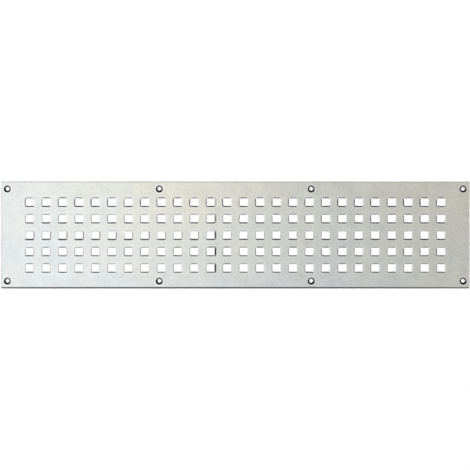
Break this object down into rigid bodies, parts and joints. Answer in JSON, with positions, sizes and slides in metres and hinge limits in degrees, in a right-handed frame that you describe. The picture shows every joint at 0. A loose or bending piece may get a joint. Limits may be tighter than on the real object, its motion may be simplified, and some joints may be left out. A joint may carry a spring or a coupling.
{
  "type": "ventilation grille",
  "caption": "Flat rectangular sheet-metal vent cover with a grid of square punched holes and countersunk screw holes along both long sides.",
  "frame": {"origin": "centre of the back face, the face that lies against the wall or door", "axes": "+X along the length, +Y across the height of the fixed grille, +Z out of the front face"},
  "size_m": [0.57, 0.13, 0.002],
  "materials": {
    "anodised_sheet": "satin silver anodised, fine grain along the length"
  },
  "bodies": {
    "root": {"grille_plate": "anodised_sheet"}
  },
  "joints": []
}
